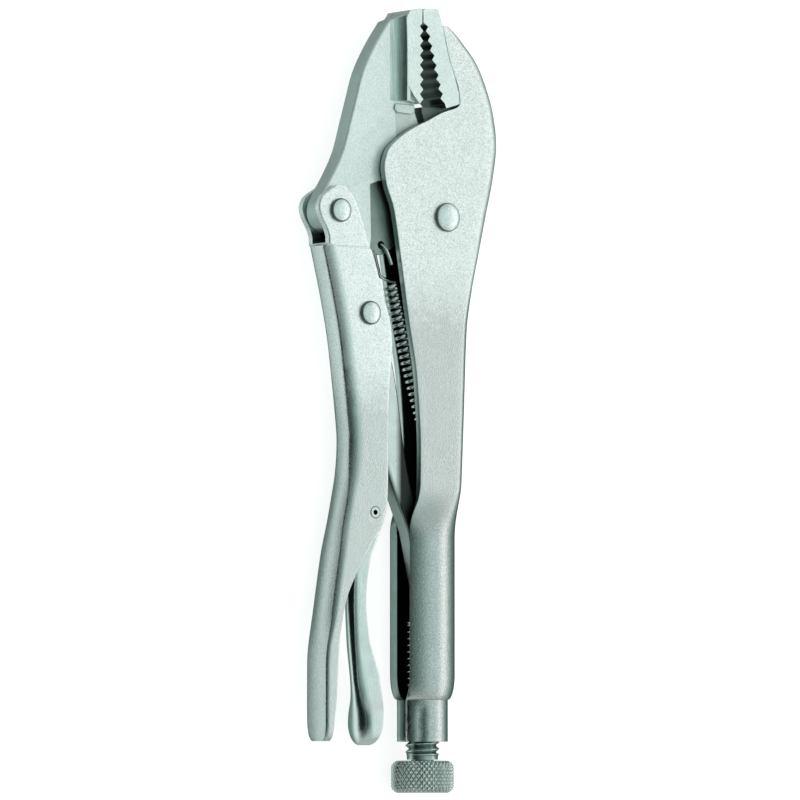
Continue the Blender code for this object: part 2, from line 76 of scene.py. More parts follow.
# Forged jaws and the toggle link
PLATE_HALF = 3.3
TONGUE_HALF = 2.9
SHOULDER_HALF = 3.85
TOE_HALF = 5.2
POCKET_HALF = 1.9
FILLET_FOOT = -15.0
FILLET_TOP = (-15.3, 244.5)
FILLET_SLANT = 0.414
SPRING_EYE = (-17.4, 173.4)
TEETH_HALF = 6.35
LINK_HALF = 3.2
TOOTH_COUNT = 8
TOOTH_DEPTH = 1.25
TEETH_RUN = (218.0, 243.9)

# Tube, neck, screw and knob
TUBE_RX = 10.5
TUBE_RZ = 9.9
TUBE_LIP_DEG = 33.0
TUBE_RUN = (80.0, 98.0)
NECK_R = 8.1
NECK_LIP_DEG = 13.0
NECK_LOW = 16.2
SHOULDER_HIGH = 37.5
SHOULDER_RUN = 8.1
CREASE_DEPTH = 0.8
CREASE_DEG = 51.0
CREASE_WIDTH_DEG = 9.0
CREASE_HIGH = 28.5
CREASE_FADE = 2.5
SCREW_R = 5.4
SCREW_LOW = 10.5
SCREW_TIP_Y = 56.0
THREAD_PITCH = 2.1
THREAD_DEPTH = 1.05
KNOB_R = 10.0
KNOB_HEIGHT = 10.2
KNOB_EDGE = 2.3
KNURL_DEPTH = 0.45
KNURL_SLOPE = 2.4
KNURL_ROUND = 38
KNURL_HIGH = 5.8
KNOB_ROWS = 72
STUB_R = 3.6

# Round fastenings: shank radius, head radius, height of the head's dome
JAW_RIVET = (4.0, 4.6, 1.7)
HANDLE_RIVET = (3.0, 3.75, 1.5)
TOGGLE_RIVET = (3.0, 3.75, 1.5)
RIVET_RIM_SHARE = 0.3
# Width of the ring round each rivet head's rim that is painted dark as shade
RIVET_SHADE_RIM = 0.34
PIN_R = 1.8
PIN_BORE = 0.75

# Step from the movable handle's spine to its ears
EAR_LOW = 172.1
JOGGLE_Y = 172.0
JOGGLE_DEPTH = 0.3

# Return spring
SPRING_FOOT = Vector((2.2, 110.5, 0.0))
SPRING_TOP = Vector((-12.3, 161.4, 0.0))
SPRING_TURNS = 26
SPRING_STEPS = 24
SPRING_START = 1.9
SPRING_COIL_R = 2.2
SPRING_WIRE_R = 0.55

HOLE_GAP = 0.15
DRILL_HALF = 20.0
HEAD_GAP = 0.1

# Outlines as (distance along the tool, X)
FIXED_EDGE = [(16, -8), (83, -8.7), (86, -7.3), (93, -5.0), (108, -4.8), (130, -6.1),
              (151, -9.6), (169, -12.5), (185, -15.3), (193, -18.2), (198, -18.9),
              (203.3, -17.5), (207, -13.7), (210.7, -8.0), (213.7, -1.6), (216.6, 4.2),
              (218.3, 9.8), (219.6, 10.4), (223, 10.1), (233.5, 6.3), (244, 3.8)]
FIXED_BACK = [(16, 8), (82, 11.4), (97, 12.4), (120, 13.4), (147, 14.5), (160, 16.5),
              (171, 19.2), (181, 21.8), (197.5, 25.7), (207, 26.9), (216, 25.8),
              (227.5, 21.9), (234.3, 18.0), (240.8, 11.4), (244, 6.4)]
MOVING_BACK = [(16.2, -40.7), (18.5, -41.0), (28, -41.2), (40.6, -41.2),
               (53.5, -39.9), (66.5, -38.0), (79.4, -35.8), (92.4, -33.1), (101, -31.5),
               (111, -30.9), (121.5, -31.8), (130, -32.8), (143.5, -34.6), (155.5, -37.0),
               (166, -39.5), (172, -41.0)]
EAR_BACK = [(172, -39.9), (174.8, -39.9), (176.4, -40.3), (178.5, -41.3), (181.2, -42.9),
            (184.3, -43.8), (187.4, -42.7), (191.2, -37.4)]
MOVING_BEND = [(16.2, 1.0), (48, 1.2), (60, 1.6), (92, 1.7), (108, 3.2), (192, 3.2)]
MOVING_CROWN = [(16.2, 0.5), (44, 0.7), (58, 1.5), (90, 1.5), (110, 0.7), (192, 0.7)]
MOVING_EDGE = [(16.2, -38.3), (20, -38.0), (24, -37.7), (28, -37.2), (40, -36.6),
               (47, -36.2), (52, -35.6), (60, -34.0), (68.3, -30.2), (77.5, -24.5),
               (85.8, -18.9), (92.5, -17.5), (104, -17.2), (119, -17.0), (129.5, -16.6),
               (141.5, -15.6), (148.7, -16.4), (154.7, -18.3), (169.3, -22.9), (175.8, -25.5),
               (183, -27.9), (188.8, -31.0), (191.2, -34.2)]
MOVING_WIDTH = [(16.2, 3.7), (16.7, 4.5), (17.8, 5.2), (19.5, 5.7), (22, 6.0), (44, 6.2),
                (56, 6.7), (74, 6.7), (86, 6.0), (191.2, 6.0)]
LEVER_BACK = [(15.0, -24.6), (15.6, -25.4), (17.0, -26.0), (20, -26.4), (29.5, -26.6),
              (36, -27.2), (48.6, -28.4), (61, -28.9), (72, -28.9), (80, -28.3), (88, -26.9),
              (95, -23.6), (101.5, -21.2)]
LEVER_FRONT = [(15.0, -22.0), (15.6, -21.3), (17.0, -20.5), (19, -19.9), (24.5, -19.2),
               (29.5, -18.4), (36, -18.7), (42, -20.6), (48.6, -22.7), (61, -23.9),
               (74, -22.2), (80.4, -19.4), (84, -18.0), (90, -17.5), (96, -17.6),
               (101.5, -18.2)]
LEVER_WIDTH = [(15.0, 2.2), (15.15, 2.9), (15.6, 3.8), (16.3, 4.6), (17.5, 5.4), (19.4, 6.1),
               (21.5, 6.5), (24.5, 6.2), (30, 4.4), (37, 3.4), (46, 3.3), (101.5, 3.3)]

# Finish of the metals: sizes and places in millimetres
BLOTCH_SIZE = 5.0
STREAK_SIZE = 0.5
STREAK_SQUEEZE = (1.0, 0.04, 1.0)
ROUGH_SPREAD = 0.03
BORDER_SWAY = 8.0
BORDER_HALF = 9.0
TAIL_GRAIN_RUN = (88.0, 100.0)
# Tone at the polished tail and above the border: the tail's lower tone is a painted darker
# reflection
FINISH_REFLECTION_TONES = (0.68, 0.98)

LEG_STEPS = 10
ARC_STEPS = 8
BACK_STEPS = 3
SMOOTH_DEG = 38.0


# ---------------------------------------------------------------- curves and sections

def smooth_value(stations, y):
    """Cubic through the stations, with slopes limited so that it never overshoots."""
    ys = [s[0] for s in stations]
    xs = [s[1] for s in stations]
    if y <= ys[0]:
        return xs[0]
    if y >= ys[-1]:
        return xs[-1]
    secants = [(xs[i + 1] - xs[i]) / (ys[i + 1] - ys[i]) for i in range(len(xs) - 1)]
    slopes = [secants[0]]
    for before, after in zip(secants, secants[1:]):
        same_way = before * after > 0.0
        slopes.append(2.0 * before * after / (before + after) if same_way else 0.0)
    slopes.append(secants[-1])
    i = max(k for k in range(len(ys) - 1) if ys[k] <= y)
    span = ys[i + 1] - ys[i]
    t = (y - ys[i]) / span
    rise = t * t * (3.0 - 2.0 * t)
    start = t * (1.0 - t) ** 2 * span * slopes[i]
    end = t * t * (t - 1.0) * span * slopes[i + 1]
    return xs[i] + rise * (xs[i + 1] - xs[i]) + start + end


def fair_value(stations, y, reach=1.6):
    """The curve averaged over a short stretch, so that reflections run without kinks."""
    reach = min(reach, max(y - stations[0][0], 0.0), max(stations[-1][0] - y, 0.0))
    weights = ((-1.0, 1.0), (-0.5, 2.0), (0.0, 3.0), (0.5, 2.0), (1.0, 1.0))
    return sum(w * smooth_value(stations, y + reach * d) for d, w in weights) / 9.0


def smooth_step(low, high, y):
    """0 at low, 1 at high and level at both; high may lie below low."""
    t = min(max((y - low) / (high - low), 0.0), 1.0)
    return t * t * (3.0 - 2.0 * t)


def mirrored(half, middle):
    return half + [middle] + [(x, -z) for x, z in reversed(half)]


def u_section(edge, back, half, bend, share=0.48, bulge=0.0):
    """Open channel: leg, bend, crowned back, bend, leg, as (x, z) points."""
    side = 1.0 if back > edge else -1.0
    bend = min(bend, share * abs(back - edge), 0.9 * half)
    corner = back - side * bend
    points = [(edge + (corner - edge) * i / LEG_STEPS, half) for i in range(LEG_STEPS)]
    for i in range(ARC_STEPS + 1):
        angle = 0.5 * math.pi * i / ARC_STEPS
        points.append((corner + side * bend * math.sin(angle),
                       half - bend + bend * math.cos(angle)))
    points += [(back, (half - bend) * (1.0 - i / (BACK_STEPS + 1)))
               for i in range(1, BACK_STEPS + 1)]
    crowned = [(x - side * bulge * (z / half) ** 2 * (x - edge) / (back - edge), z)
               for x, z in points]
    return mirrored(crowned, (back, 0.0))


def c_section(radius_x, radius_z, lip_deg, crease=0.0, crease_deg=0.0):
    """Split tube round the screw axis, open towards -X, with as many points as u_section."""
    count = LEG_STEPS + ARC_STEPS + 1 + BACK_STEPS
    points = []
    for i in range(count):
        degrees = (180.0 - lip_deg) * (1.0 - i / count)
        angle = math.radians(degrees)
        dent = crease * math.exp(-((180.0 - degrees - crease_deg) / CREASE_WIDTH_DEG) ** 2)
        points.append(((radius_x - dent) * math.cos(angle), (radius_z - dent) * math.sin(angle)))
    return mirrored(points, (radius_x, 0.0))


def blend_points(first, second, share):
    return [(a[0] + (b[0] - a[0]) * share, a[1] + (b[1] - a[1]) * share)
            for a, b in zip(first, second)]


def spaced(low, high, step, extra=()):
    """Ring positions from low to high, with the extra ones put in."""
    count = max(int(round((high - low) / step)), 1)
    ys = [low + (high - low) * i / count for i in range(count + 1)]
    ys = [y for y in ys if all(abs(y - e) > 0.25 * step for e in extra)]
    ys += [e for e in extra if low <= e <= high]
    for end in (low, high):
        if end not in ys:
            ys.append(end)
    return sorted(set(ys))


def arc(centre, radius, start_deg, end_deg, steps):
    points = []
    for i in range(steps + 1):
        angle = math.radians(start_deg + (end_deg - start_deg) * i / steps)
        points.append((centre[0] + radius * math.cos(angle), centre[1] + radius * math.sin(angle)))
    return points


def flowing(points, steps=5):
    """Closed or open run of points turned into a smooth curve through them (Catmull-Rom)."""
    out = []
    for i in range(len(points) - 1):
        before = points[max(i - 1, 0)]
        start = points[i]
        end = points[i + 1]
        after = points[min(i + 2, len(points) - 1)]
        for k in range(steps):
            t = k / steps
            out.append(tuple(0.5 * (2.0 * s + (e - b) * t
                                    + (2.0 * b - 5.0 * s + 4.0 * e - a) * t * t
                                    + (3.0 * s - b - 3.0 * e + a) * t ** 3)
                             for b, s, e, a in zip(before, start, end, after)))
    return out + [points[-1]]


# ---------------------------------------------------------------- mesh building

def to_metres(x, y, z):
    return Vector(((x - FRAME_X) * MM, (y - FRAME_Y) * MM, (z - FRAME_Z) * MM))


def object_from_bmesh(bm, name, materials=()):
    """Turn a bmesh drawn in millimetres into a named object in metres."""
    for vert in bm.verts:
        vert.co = to_metres(*vert.co)
    bmesh.ops.recalc_face_normals(bm, faces=bm.faces)
    mesh = bpy.data.meshes.new(name)
    bm.to_mesh(mesh)
    bm.free()
    obj = bpy.data.objects.new(name, mesh)
    bpy.context.scene.collection.objects.link(obj)
    for material in materials:
        mesh.materials.append(material)
    mesh.shade_smooth()
    return obj


def apply_modifiers(obj):
    graph = bpy.context.evaluated_depsgraph_get()
    mesh = bpy.data.meshes.new_from_object(obj.evaluated_get(graph))
    old = obj.data
    obj.modifiers.clear()
    obj.data = mesh
    bpy.data.meshes.remove(old)


def round_edges(obj, width, segments=2, angle=50.0):
    step = obj.modifiers.new("round", "BEVEL")
    step.width = width * MM
    step.segments = segments
    step.limit_method = "ANGLE"
    step.angle_limit = math.radians(angle)
    step.use_clamp_overlap = True
    apply_modifiers(obj)
    return obj


def combine(obj, others, operation):
    for other in others:
        step = obj.modifiers.new("combine", "BOOLEAN")
        step.operation = operation
        step.solver = "EXACT"
        step.material_mode = "TRANSFER"
        step.object = other
    bpy.context.view_layer.update()
    apply_modifiers(obj)
    for other in others:
        bpy.data.objects.remove(other)
    return obj


def finish_shading(obj):
    """Smooth shading whose large flat faces stay flat."""
    obj.data.shade_smooth()
    obj.data.set_sharp_from_angle(angle=math.radians(SMOOTH_DEG))
    step = obj.modifiers.new("normals", "WEIGHTED_NORMAL")
    step.keep_sharp = True
    step.weight = 80
    apply_modifiers(obj)
    return obj


def rounded_lip(outer_end, inner_end, outer_next, inner_next):
    """Points round the sheet's cut edge, from its outer face to its inner face."""
    outer_end, inner_end = Vector(outer_end), Vector(inner_end)
    across = inner_end - outer_end
    width = across.length
    across.normalize()
    into_outer = Vector(outer_next) - outer_end
    into_inner = Vector(inner_next) - inner_end
    radius = min(LIP_ROUND, 0.45 * width, 0.85 * into_outer.length, 0.85 * into_inner.length)
    into_outer.normalize()
    into_inner.normalize()
    cut = 1.0 - math.cos(math.radians(45.0))
    return [outer_end + into_outer * radius, outer_end + (into_outer + across) * radius * cut,
            outer_end + across * radius, inner_end - across * radius,
            inner_end + (into_inner - across) * radius * cut, inner_end + into_inner * radius]


def loft_channel(name, sections, materials, line=()):
    """Skin a sheet-metal channel. Materials: outside, cut edge, inside, and a fourth for the
    strips of the outside that line numbers, counted from the near leg's edge."""
    bm = bmesh.new()
    rings = []
    for y, outer, inner in sections:
        near = rounded_lip(outer[0], inner[0], outer[1], inner[1])
        far = rounded_lip(outer[-1], inner[-1], outer[-2], inner[-2])
        points = list(reversed(near)) + list(outer[1:-1]) + far + list(reversed(inner[1:-1]))
        rings.append([bm.verts.new((p[0], y, p[1])) for p in points])
    size = len(rings[0])
    middle = len(sections[0][1]) - 2
    kinds = [1] * 5 + [0] * (middle + 1) + [1] * 5 + [2] * (middle + 1)
    for strip in line:
        kinds[5 + strip] = 3
    for low, high in zip(rings, rings[1:]):
        for i in range(size):
            j = (i + 1) % size
            face = bm.faces.new((low[i], low[j], high[j], high[i]))
            face.material_index = kinds[i]
    for ring in (rings[0], rings[-1]):
        near = ring[:6]
        outer = ring[6:6 + middle]
        far = ring[6 + middle:12 + middle]
        inner = list(reversed(ring[12 + middle:]))
        caps = [near + [outer[0], inner[0]], far + [inner[-1], outer[-1]]]
        caps += [(outer[i], outer[i + 1], inner[i + 1], inner[i]) for i in range(middle - 1)]
        for cap in caps:
            bm.faces.new(cap).material_index = 1
    return object_from_bmesh(bm, name, materials)


def prism(name, outline, half, material=None, bevel=0.0, segments=3):
    """Plate of the outline's shape, centred on the tool's middle plane."""
    bm = bmesh.new()
    face = bm.faces.new([bm.verts.new((x, y, -half)) for x, y in outline])
    made = bmesh.ops.extrude_face_region(bm, geom=[face])["geom"]
    bmesh.ops.translate(bm, vec=(0.0, 0.0, 2.0 * half),
                        verts=[g for g in made if isinstance(g, bmesh.types.BMVert)])
    obj = object_from_bmesh(bm, name, [material] if material else [])
    if bevel > 0.0:
        round_edges(obj, bevel, segments)
    return obj


def lathe(name, profile, centre, along_y, material=None, steps=64):
    """Spin a closed (radius, distance) profile round an axis through the centre."""
    bm = bmesh.new()
    verts = [bm.verts.new((r, 0.0, d)) for r, d in profile]
    for start, end in zip(verts, verts[1:]):
        bm.edges.new((start, end))
    bmesh.ops.spin(bm, geom=bm.verts[:] + bm.edges[:], cent=(0.0, 0.0, 0.0),
                   axis=(0.0, 0.0, 1.0), angle=2.0 * math.pi, steps=steps, use_duplicate=False)
    bmesh.ops.remove_doubles(bm, verts=bm.verts, dist=1e-4)
    if along_y:
        bm.transform(Matrix.Rotation(math.radians(-90.0), 4, "X"))
    bm.transform(Matrix.Translation((centre[0], centre[1], 0.0)))
    return object_from_bmesh(bm, name, [material] if material else [])


def drill(obj, centre, radius, material):
    profile = [(0.0, -DRILL_HALF), (radius, -DRILL_HALF), (radius, DRILL_HALF), (0.0, DRILL_HALF)]
    return combine(obj, [lathe("drill", profile, centre, False, material)], "DIFFERENCE")


def paint(obj, material, rule):
    """Give the material to the faces whose centre and normal, in drawing axes, fit the rule."""
    obj.data.materials.append(material)
    index = len(obj.data.materials) - 1
    for face in obj.data.polygons:
        x, y, z = face.center
        centre = (x / MM + FRAME_X, y / MM + FRAME_Y, z / MM + FRAME_Z)
        if rule(centre, face.normal):
            face.material_index = index


def tube_along(name, points, radius, sides, material):
    """Round wire swept along the points; the frame is carried along without twist."""
    bm = bmesh.new()
    rings = []
    normal = Vector((1.0, 0.0, 0.0))
    for i, point in enumerate(points):
        ahead = points[min(i + 1, len(points) - 1)]
        behind = points[max(i - 1, 0)]
        tangent = (ahead - behind).normalized()
        normal = (normal - tangent * normal.dot(tangent)).normalized()
        side = tangent.cross(normal)
        rings.append([bm.verts.new(point + radius * (normal * math.cos(a) + side * math.sin(a)))
                      for a in (2.0 * math.pi * k / sides for k in range(sides))])
    for low, high in zip(rings, rings[1:]):
        for i in range(sides):
            j = (i + 1) % sides
            bm.faces.new((low[i], low[j], high[j], high[i]))
    bm.faces.new(rings[0])
    bm.faces.new(rings[-1])
    return object_from_bmesh(bm, name, [material])


# ---------------------------------------------------------------- materials

def connect(tree, socket, value):
    """Feed a socket from another node's output, or set it to a plain value."""
    if isinstance(value, bpy.types.NodeSocket):
        tree.links.new(value, socket)
    else:
        socket.default_value = value


def calculate(tree, operation, *values):
    node = tree.nodes.new("ShaderNodeMath")
    node.operation = operation
    for socket, value in zip(node.inputs, values):
        connect(tree, socket, value)
    return node.outputs["Value"]


def map_range(tree, source, low, high, to_low, to_high):
    node = tree.nodes.new("ShaderNodeMapRange")
    for key, value in (("Value", source), ("From Min", low), ("From Max", high),
                       ("To Min", to_low), ("To Max", to_high)):
        connect(tree, node.inputs[key], value)
    return node.outputs["Result"]


def noise(tree, coord, size, detail, squeeze=None):
    """Noise with features of about the size in millimetres, squeezed along the axes if asked."""
    node = tree.nodes.new("ShaderNodeTexNoise")
    node.inputs["Scale"].default_value = 1.0 / (size * MM)
    node.inputs["Detail"].default_value = detail
    node.inputs["Roughness"].default_value = 0.6
    if squeeze is not None:
        mapping = tree.nodes.new("ShaderNodeMapping")
        mapping.inputs["Scale"].default_value = squeeze
        tree.links.new(coord, mapping.inputs["Vector"])
        coord = mapping.outputs["Vector"]
    tree.links.new(coord, node.inputs["Vector"])
    return node.outputs["Fac"]


def spread(tree, source, to_low, to_high):
    """Stretch the range where a noise mostly lies to the two values."""
    return map_range(tree, source, 0.3, 0.7, to_low, to_high)


def two_finishes(tree, coord, blotch, flecks, tone, rough, matt_low, matt_rough, tail_flecks):
    """Polished at the tail and blasted above matt_low, with a ragged border; the polished tail is
    painted darker and the blasted part lighter, a painted reflection of how the two finishes
    reflect.
    """
    split = tree.nodes.new("ShaderNodeSeparateXYZ")
    tree.links.new(coord, split.inputs["Vector"])
    ragged = calculate(tree, "MULTIPLY_ADD", blotch, 2.0 * BORDER_SWAY * MM, split.outputs["Y"])

    def along_tool(low, high, to_low, to_high):
        return map_range(tree, ragged, (low - FRAME_Y) * MM, (high - FRAME_Y) * MM,
                         to_low, to_high)

    matt = (matt_low + BORDER_SWAY - BORDER_HALF, matt_low + BORDER_SWAY + BORDER_HALF)
    tail = along_tool(*TAIL_GRAIN_RUN, tail_flecks, 0.2)
    kept = calculate(tree, "ADD", along_tool(*matt, 0.0, 0.8), tail)
    return (calculate(tree, "MULTIPLY", flecks, kept),
            calculate(tree, "MULTIPLY", tone, along_tool(*matt, *FINISH_REFLECTION_TONES)),
            calculate(tree, "MULTIPLY", rough, along_tool(*matt, 1.0, matt_rough)))


def painted_shade_gradient(tree, coord, lit_end, dark_end, low):
    """Painted shade: tone that falls from 1 at one (x, y) point to low at another."""
    way = (Vector((*dark_end, 0.0)) - Vector((*lit_end, 0.0))).normalized()
    reach = tree.nodes.new("ShaderNodeVectorMath")
    reach.operation = "DOT_PRODUCT"
    reach.inputs[1].default_value = way
    tree.links.new(coord, reach.inputs[0])
    ends = [to_metres(*point, 0.0).dot(way) for point in (lit_end, dark_end)]
    return map_range(tree, reach.outputs["Value"], *ends, 1.0, low)


def metal(name, colour, roughness, grain=0.35, bump=0.5, mottle=0.08, streak=0.0,
          hollow_shade_and_wear=(0.88, 1.12), speckle=0.05, matt_above=None, tail_flecks=0.2, shade_ramp=None):
    """Metal with fine grain and soft blotches, and where asked with streaks, finishes and painted
    shade.

    grain is in millimetres; bump is its relief, speckle and mottle are how far the tone varies
    with the grain and with the blotches. hollow_shade_and_wear is the tone in hollows, where it is
    painted shade, and on edges, where it is edge wear.
    matt_above is (distance along the tool, roughness): the blasted finish takes over beyond it,
    and tail_flecks is the share of the speckle that stays on the tail. shade_ramp is ((x, y) at its
    lit side, (x, y) at its dark side, tone there): painted shade, darker towards the dark side."""
    material = bpy.data.materials.new(name)
    material.use_nodes = True
    tree = material.node_tree
    shader = tree.nodes["Principled BSDF"]
    shader.inputs["Metallic"].default_value = 1.0
    coord = tree.nodes.new("ShaderNodeTexCoord").outputs["Object"]
    fine = noise(tree, coord, grain, 3.0)
    blotch = noise(tree, coord, BLOTCH_SIZE, 4.0)
    tone = spread(tree, blotch, 1.0 - mottle, 1.0 + mottle)
    rough = spread(tree, blotch, roughness - ROUGH_SPREAD, roughness + ROUGH_SPREAD)
    flecks = spread(tree, fine, -speckle, speckle)
    if matt_above is not None:
        flecks, tone, rough = two_finishes(tree, coord, blotch, flecks, tone, rough,
                                           matt_above[0], matt_above[1] / roughness, tail_flecks)
    tone = calculate(tree, "MULTIPLY", tone, calculate(tree, "ADD", flecks, 1.0))
    height = fine
    if streak > 0.0:
        lines = noise(tree, coord, STREAK_SIZE, 3.0, STREAK_SQUEEZE)
        tone = calculate(tree, "MULTIPLY", tone,
                         spread(tree, lines, 1.0 - streak, 1.0 + 0.6 * streak))
        height = calculate(tree, "MULTIPLY", fine, lines)
    # Pointiness: hollows are painted darker as shade, edges lighter as wear.
    edges = tree.nodes.new("ShaderNodeNewGeometry").outputs["Pointiness"]
    tone = calculate(tree, "MULTIPLY", tone, map_range(tree, edges, 0.44, 0.56, *hollow_shade_and_wear))
    # Painted shade that darkens the face towards one side.
    if shade_ramp is not None:
        tone = calculate(tree, "MULTIPLY", tone, painted_shade_gradient(tree, coord, *shade_ramp))
    shade = tree.nodes.new("ShaderNodeVectorMath")
    shade.operation = "SCALE"
    shade.inputs[0].default_value = colour
    tree.links.new(tone, shade.inputs["Scale"])
    tree.links.new(shade.outputs["Vector"], shader.inputs["Base Color"])
    tree.links.new(rough, shader.inputs["Roughness"])
    relief = tree.nodes.new("ShaderNodeBump")
    relief.inputs["Strength"].default_value = bump
    relief.inputs["Distance"].default_value = 0.25 * grain * MM
    tree.links.new(height, relief.inputs["Height"])
    tree.links.new(relief.outputs["Normal"], shader.inputs["Normal"])
    return material


PLATED = metal("satin_plate", (0.89, 0.93, 0.915), 0.17, grain=0.45, bump=0.9, mottle=0.02,
               matt_above=(128.0, 0.38), speckle=0.24, tail_flecks=0.4)
HEAD = metal("head_plate", (0.86, 0.89, 0.875), 0.17, grain=0.45, bump=0.9, mottle=0.025,
             matt_above=(157.0, 0.40), speckle=0.27, tail_flecks=0.7)
BLASTED = metal("blasted_plate", (0.72, 0.78, 0.76), 0.38, grain=0.5, bump=0.8, mottle=0.05,
                speckle=0.11)
# Darker metal for the jaw plate's side faces: painted shade on faces turned from the light.
JAW_SIDE_SHADE = metal("jaw_side_faces_shade", (0.50, 0.57, 0.555), 0.40, grain=0.5, bump=0.4, mottle=0.05)
# Darker metal for the movable jaw's tongue recess: painted shade in the recess.
TONGUE_SHADE = metal("tongue_plate_shade", (0.62, 0.68, 0.655), 0.42, grain=0.6, bump=0.6, mottle=0.09)
# Dark grey painted shade: the fixed jaw's tongue in the throat and the rims of the rivet heads.
ROOT_SHADE = metal("jaw_root_shade", (0.15, 0.18, 0.165), 0.5, grain=0.6, bump=0.5, mottle=0.15)
CUT_EDGE = metal("cut_edge", (0.52, 0.58, 0.565), 0.30, grain=0.4, bump=0.4, mottle=0.10)
# Near-black for the inside faces of channels, bores and holes: painted shade, where little light
# gets in.
INSIDE_SHADE = metal("channel_inside_shade", (0.022, 0.03, 0.027), 0.55, grain=0.6, bump=0.5, mottle=0.20)
# Darker floor for the movable jaw's side pockets: painted shade in the recess.
POCKET_SHADE = metal("pocket_floor_shade", (0.27, 0.33, 0.30), 0.35, grain=0.6, bump=0.5, mottle=0.10)
# Plate for the release lever, painted darker than the handles' plate as shade between the handles.
LEVER_WITH_SHADE = metal("lever_plate_with_shade", (0.70, 0.76, 0.74), 0.19, grain=0.5, bump=0.35, mottle=0.04)
# The link's face is painted dark towards +X, as shade where it runs in under the fixed handle's
# wall.
LINK = metal("link_plate", (0.60, 0.66, 0.64), 0.30, grain=0.5, bump=0.6, mottle=0.08,
             shade_ramp=((-12.6, 100.0), (-10.4, 100.0), 0.05))
# Darker metal for the link's side faces: painted shade on faces turned from the light.
LINK_SIDE_SHADE = metal("link_side_faces_shade", (0.34, 0.39, 0.37), 0.34, grain=0.5, bump=0.6, mottle=0.10)
SHOULDER = metal("shoulder_steel", (0.60, 0.66, 0.64), 0.40, grain=0.5, bump=0.8, mottle=0.10,
                 speckle=0.12)
FLANK = metal("ground_flank", (0.56, 0.64, 0.60), 0.30, grain=0.4, bump=0.4, mottle=0.06,
              streak=0.30)
# Near-black for the teeth's sloping faces: painted shade between the teeth.
TOOTH_SHADE = metal("tooth_flank_shade", (0.085, 0.11, 0.098), 0.36, grain=0.3, bump=0.3, mottle=0.10,
              hollow_shade_and_wear=(0.7, 1.5))
RIVET = metal("rivet_plate", (0.76, 0.82, 0.81), 0.26, grain=0.6, bump=0.6, mottle=0.06,
              speckle=0.12)
# Screw and knurl: strong painted shade in the thread and knurl grooves, lighter worn crests.
SCREW = metal("screw_steel", (0.33, 0.385, 0.37), 0.24, grain=0.3, bump=0.4, mottle=0.10,
              hollow_shade_and_wear=(0.30, 1.9))
KNURL = metal("knurled_steel", (0.56, 0.63, 0.605), 0.27, grain=0.3, bump=0.4, mottle=0.10,
              hollow_shade_and_wear=(0.40, 1.35))
WIRE = metal("spring_wire", (0.60, 0.66, 0.64), 0.22, grain=0.3, bump=0.2, mottle=0.08)
# Dark speckled strip along the movable handle's bends: a painted dark reflection line.
BEND_REFLECTION_LINE = metal("bend_line_reflection", (0.27, 0.31, 0.30), 0.35, grain=0.45, bump=1.0, mottle=0.25,
                 speckle=0.9)
# The third metal of each set paints the channels' inside faces near-black as shade.
SHEET_METALS = [PLATED, CUT_EDGE, INSIDE_SHADE]
HEAD_METALS = [HEAD, CUT_EDGE, INSIDE_SHADE]


# ---------------------------------------------------------------- fixed handle and jaw

def fixed_back_inside(y):
    slope = fair_value(FIXED_BACK, y + 0.5) - fair_value(FIXED_BACK, y - 0.5)
    inside = fair_value(FIXED_BACK, y) - SHEET * math.hypot(1.0, slope)
    return max(inside, smooth_value(FIXED_EDGE, y) + 0.9)


def fixed_section(y):
    """Outer and inner points: a channel at the head, a split tube and neck at the tail."""
    edge = fair_value(FIXED_EDGE, y, 0.9)
    bend = BEND + (HEAD_BEND - BEND) * smooth_step(*HEAD_BEND_RUN, y)
    outer = u_section(edge, fair_value(FIXED_BACK, y), HALF_WIDTH, bend)
    inner = u_section(edge, fixed_back_inside(y), HALF_WIDTH - SHEET, INNER_BEND)
    neck = 1.0 - math.sqrt(1.0 - min(max((SHOULDER_HIGH - y) / SHOULDER_RUN, 0.0), 1.0) ** 2)
    lip = TUBE_LIP_DEG + (NECK_LIP_DEG - TUBE_LIP_DEG) * neck
    rx = TUBE_RX + (NECK_R - TUBE_RX) * neck
    rz = TUBE_RZ + (NECK_R - TUBE_RZ) * neck
    tube = 1.0 - smooth_step(*TUBE_RUN, y)
    crease = CREASE_DEPTH * smooth_step(CREASE_HIGH, CREASE_HIGH - CREASE_FADE, y)
    crease_deg = CREASE_DEG + 1.2 * math.sin(2.1 * y) + 0.9 * math.sin(5.3 * y)
    return (blend_points(outer, c_section(rx, rz, lip, crease, crease_deg), tube),
            blend_points(inner, c_section(rx - SHEET, rz - SHEET, lip), tube))


def build_fixed_handle():
    shoulder = [SHOULDER_HIGH - SHOULDER_RUN * math.sin(math.radians(a)) for a in range(0, 91, 9)]
    fine = [205 + 0.5 * i for i in range(35)]
    ys = spaced(NECK_LOW, 244.0, 1.0, tuple(shoulder + fine))
    handle = loft_channel("fixed_handle_shell", [(y, *fixed_section(y)) for y in ys], HEAD_METALS)
    drill(handle, JAW_PIVOT, JAW_RIVET[0] + HOLE_GAP, CUT_EDGE)
    round_edges(handle, 0.25)
    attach(finish_shading(handle), "fixed_handle")
    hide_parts("fixed_handle")


def saw_teeth(first_root, last_root, side):
    """Tooth row from one root to the other, with slightly blunt tips and round roots."""
    points = []
    step = Vector((last_root[0] - first_root[0], last_root[1] - first_root[1])) / TOOTH_COUNT
    start = Vector(first_root)
    out = Vector((side, 0.0))
    for i in range(TOOTH_COUNT):
        for share, reach in ((0.03, 0.03), (0.47, 0.97), (0.5, 1.0), (0.53, 0.97), (0.97, 0.03)):
            points.append(tuple(start + step * (i + share) + out * (TOOTH_DEPTH * reach)))
    return [first_root] + points + [last_root]


def paint_teeth(block, side):
    """Paint the sloping faces of a tooth row that looks along X to the given side near-black, as
    shade between the teeth.
    """
    low, high = TEETH_RUN
    paint(block, TOOTH_SHADE, lambda c, n: n.z * n.z < 0.2 and side * n.x > 0.1 and low < c[1] < high)


